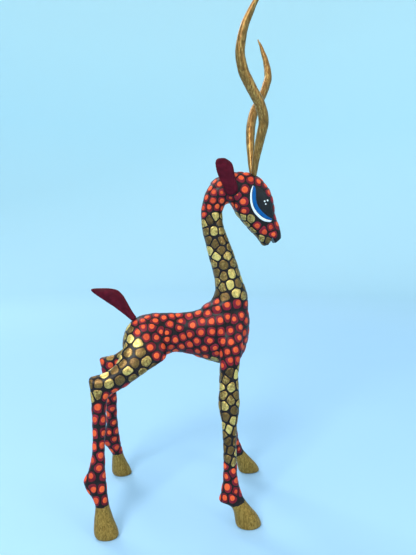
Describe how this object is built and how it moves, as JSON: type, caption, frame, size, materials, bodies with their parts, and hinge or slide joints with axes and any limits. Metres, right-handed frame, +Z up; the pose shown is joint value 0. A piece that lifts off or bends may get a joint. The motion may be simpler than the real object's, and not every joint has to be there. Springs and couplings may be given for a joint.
{
  "type": "carved animal figure",
  "caption": "Standing carved wooden antelope painted all over in dots, on four doweled legs, with long wavy horns, ears and a tail that plug into sockets.",
  "frame": {"origin": "on the surface the figure stands on, under the middle of the whole figure's box", "axes": "+X from the tail to the muzzle, +Y to the animal's left, +Z up"},
  "size_m": [0.1493, 0.0938, 0.3813],
  "materials": {
    "carved_wood_black": "satin black acrylic ground brushed over carved softwood",
    "horn_gold": "metallic gold paint brushed over whittled wood, darker in the hollows",
    "plum_paint": "satin plum paint, brushed",
    "dowel_wood": "bare turned hardwood dowel",
    "gold_spots": "raised metallic gold paint spots",
    "maroon_spots": "satin maroon paint spots",
    "orange_spots": "satin orange-red paint dots",
    "hoof_gold": "ochre gold paint, dark in the wood's pits",
    "eye_black": "gloss black paint",
    "eye_blue": "gloss blue paint",
    "eye_white": "gloss white paint"
  },
  "bodies": {
    "root": {"torso": "carved_wood_black", "neck": "carved_wood_black", "head": "carved_wood_black", "foreleg_right": "carved_wood_black", "foreleg_left": "carved_wood_black", "hindleg_right": "carved_wood_black", "hindleg_left": "carved_wood_black", "neck_dowel": "dowel_wood", "head_dowel": "dowel_wood", "foreleg_right_dowels": "dowel_wood", "foreleg_left_dowels": "dowel_wood", "hindleg_right_dowels": "dowel_wood", "hindleg_left_dowels": "dowel_wood"},
    "tail": {"tail": "plum_paint"},
    "horn_right": {"horn_right": "horn_gold"},
    "horn_left": {"horn_left": "horn_gold"},
    "ear_right": {"ear_right": "plum_paint"},
    "ear_left": {"ear_left": "plum_paint"}
  },
  "joints": [
    {"name": "tail_pull", "type": "slide", "parent": "root", "child": "tail", "axis": [-0.6606, 0, 0.7507], "range_m": [0, 0.0105]},
    {"name": "horn_right_pull", "type": "slide", "parent": "root", "child": "horn_right", "axis": [0.0399, -0.2094, 0.977], "range_m": [0, 0.012]},
    {"name": "horn_left_pull", "type": "slide", "parent": "root", "child": "horn_left", "axis": [-0.0402, 0.221, 0.9744], "range_m": [0, 0.012]},
    {"name": "ear_right_pull", "type": "slide", "parent": "root", "child": "ear_right", "axis": [-0.2989, -0.837, 0.4584], "range_m": [0, 0.0095]},
    {"name": "ear_left_pull", "type": "slide", "parent": "root", "child": "ear_left", "axis": [-0.2801, 0.8003, 0.5302], "range_m": [0, 0.0095]}
  ]
}
